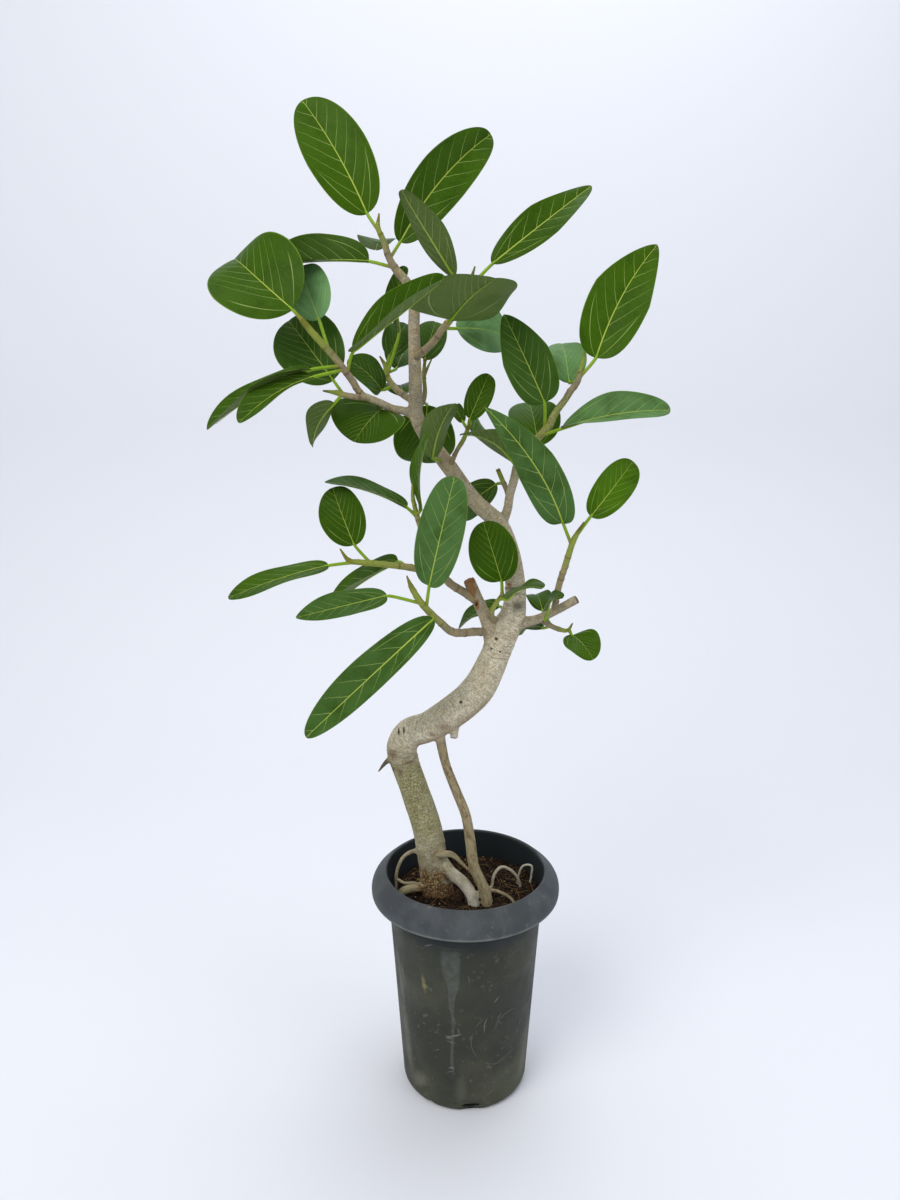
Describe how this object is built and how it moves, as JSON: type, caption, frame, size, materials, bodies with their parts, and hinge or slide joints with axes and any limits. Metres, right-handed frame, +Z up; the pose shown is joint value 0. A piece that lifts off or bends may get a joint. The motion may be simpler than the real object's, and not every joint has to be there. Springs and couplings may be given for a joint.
{
  "type": "banyan bonsai tree in a pot",
  "caption": "Banyan fig bonsai with an S-shaped trunk, a hanging root, bare surface roots and broad leathery leaves, growing in a tall round pot with a rolled collar.",
  "frame": {"origin": "centre of the pot's flat underside", "axes": "+Z up along the pot's axis, -Y towards the front of the tree, +X to the right as seen from the front"},
  "size_m": [0.4442, 0.2346, 1.0585],
  "materials": {
    "pot": "moulded plastic, satin, scuffed and dusty",
    "soil": "coarse dark potting mix with reddish granules",
    "bark": "smooth beige bark with fine creases and scars",
    "leaf": "leathery leaf, glossy above and dull below"
  },
  "bodies": {
    "root": {"pot": "pot", "soil": "soil", "trunk_and_roots": "bark", "shoot_top": "leaf", "shoot_upper_left": "leaf", "shoot_lower_left": "leaf", "leaf_under_left_limb": "leaf", "shoot_back_left": "leaf", "shoot_front_right": "leaf", "shoot_behind_trunk": "leaf", "leaf_on_crook": "leaf", "shoot_crook": "leaf", "shoot_right_top": "leaf", "leaf_right_limb_front": "leaf", "leaf_right_limb_out": "leaf", "leaf_right_limb_back": "leaf", "leaf_right_limb_low": "leaf", "shoot_side_stub": "leaf", "shoot_right": "leaf", "shoot_right_low": "leaf", "shoot_fork": "leaf", "leaf_fork_back": "leaf", "shoot_left": "leaf", "shoot_left_low": "leaf"}
  },
  "joints": []
}
